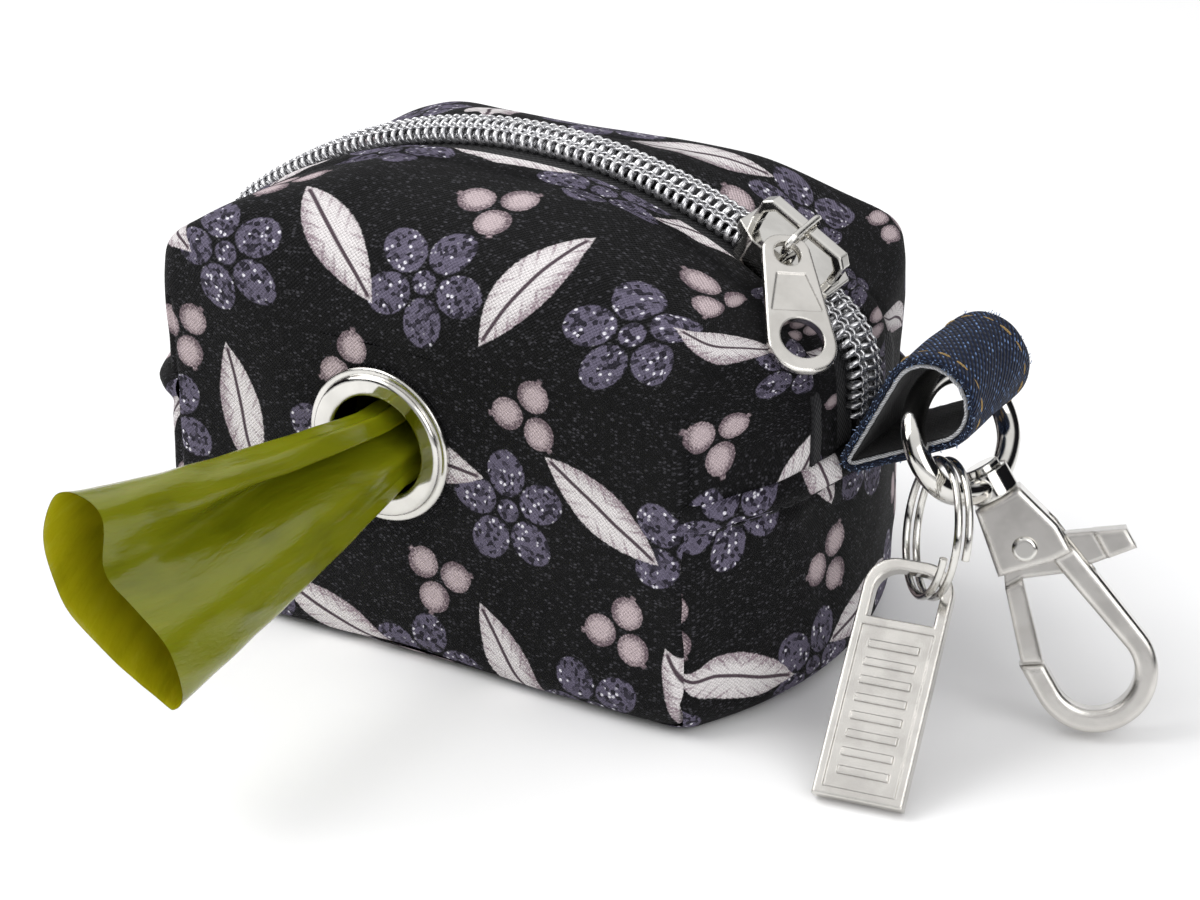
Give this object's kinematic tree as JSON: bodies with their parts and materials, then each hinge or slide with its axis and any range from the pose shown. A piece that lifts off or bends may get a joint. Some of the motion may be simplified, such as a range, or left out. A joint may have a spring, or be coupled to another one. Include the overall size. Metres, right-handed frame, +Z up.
{
  "type": "poop bag pouch",
  "caption": "Boxy zipped fabric pouch that feeds rolled bags through an eyelet, with denim loop, swivel trigger clasp, split ring and plain metal tag.",
  "frame": {"origin": "middle of the pouch's base, on the surface it stands on", "axes": "+X along the pouch towards the denim loop, -Y out of the eyelet, +Z up"},
  "size_m": [0.1562, 0.121, 0.0738],
  "materials": {
    "printed_cotton": "fine woven cotton, printed",
    "lining_cotton": "plain woven cotton",
    "zip_tape": "woven polyester tape",
    "zip_coil": "metallised nylon coil",
    "nickel": "polished nickel plate",
    "denim": "indigo twill",
    "bag_film": "thin soft film",
    "core_card": "wound board"
  },
  "bodies": {
    "pouch": {"base_panel": "printed_cotton", "front_panel": "printed_cotton", "back_panel": "printed_cotton", "lining": "lining_cotton", "zip_tape_front": "zip_tape", "zip_tape_back": "zip_tape", "zip_coil_front": "zip_coil", "zip_coil_back": "zip_coil", "eyelet": "nickel", "eyelet_washer": "nickel"},
    "slider": {"zip_slider": "nickel"},
    "link": {"pull_link": "nickel"},
    "tab": {"pull_tab": "nickel"},
    "loop": {"loop_denim": "denim", "loop_lining": "lining_cotton"},
    "ring": {"swivel_ring": "nickel"},
    "clasp": {"clasp_body": "nickel", "swivel_pin": "nickel", "trigger_rivet": "nickel", "trigger_spring": "nickel"},
    "trigger": {"clasp_trigger": "nickel"},
    "split": {"split_ring": "nickel"},
    "tag": {"tag": "nickel"},
    "roll": {"bag_roll": "bag_film", "roll_core": "core_card"},
    "tail": {"bag_tail": "bag_film"}
  },
  "joints": [
    {"name": "zip_run", "type": "hinge", "parent": "pouch", "child": "slider", "pos_m": [0, 0, -0.008], "axis": [0, 1, 0], "range_deg": [-62, 0]},
    {"name": "link_lift", "type": "hinge", "parent": "slider", "child": "link", "pos_m": [0.04486, 0, 0.0666], "axis": [-0.857, 0, 0.5153], "range_deg": [0, 85]},
    {"name": "tab_swing", "type": "hinge", "parent": "link", "child": "tab", "pos_m": [0.04414, -0.00563, 0.0654], "axis": [0.5189, -0.3308, 0.7882], "range_deg": [-2.5, 30]},
    {"name": "loop_flex", "type": "hinge", "parent": "pouch", "child": "loop", "pos_m": [0.0561, 0, 0.0365], "axis": [0, 1, 0], "range_deg": [-9, 15]},
    {"name": "ring_swing", "type": "hinge", "parent": "loop", "child": "ring", "pos_m": [0.06484, 0, 0.04804], "axis": [0, 1, 0], "range_deg": [-10, 15]},
    {"name": "swivel_spin", "type": "hinge", "parent": "ring", "child": "clasp", "pos_m": [0.07437, 0, 0.03445], "axis": [-0.5736, 0, 0.8192], "continuous": true},
    {"name": "trigger_pivot", "type": "hinge", "parent": "clasp", "child": "trigger", "pos_m": [0.08005, 0, 0.02634], "axis": [0.3719, -0.891, 0.2604], "range_deg": [0, 18]},
    {"name": "split_swing", "type": "hinge", "parent": "ring", "child": "split", "pos_m": [0.07242, -0.01052, 0.03723], "axis": [-0.3838, -0.7431, 0.5481], "range_deg": [-15, 30]},
    {"name": "tag_swing", "type": "hinge", "parent": "split", "child": "tag", "pos_m": [0.06981, -0.01271, 0.02234], "axis": [-0.6428, 0.766, 0], "range_deg": [-15, 30]},
    {"name": "bag_pull", "type": "slide", "parent": "pouch", "child": "tail", "axis": [0, -1, 0], "range_m": [0, 0.018]},
    {"name": "roll_spin", "type": "hinge", "parent": "pouch", "child": "roll", "pos_m": [0, 0.01, 0.0191], "axis": [1, 0, 0], "range_deg": [0, 62.5]}
  ],
  "couplings": [
    {"joint": "roll_spin", "follows": "bag_pull", "rad_per_m": 60.606}
  ]
}
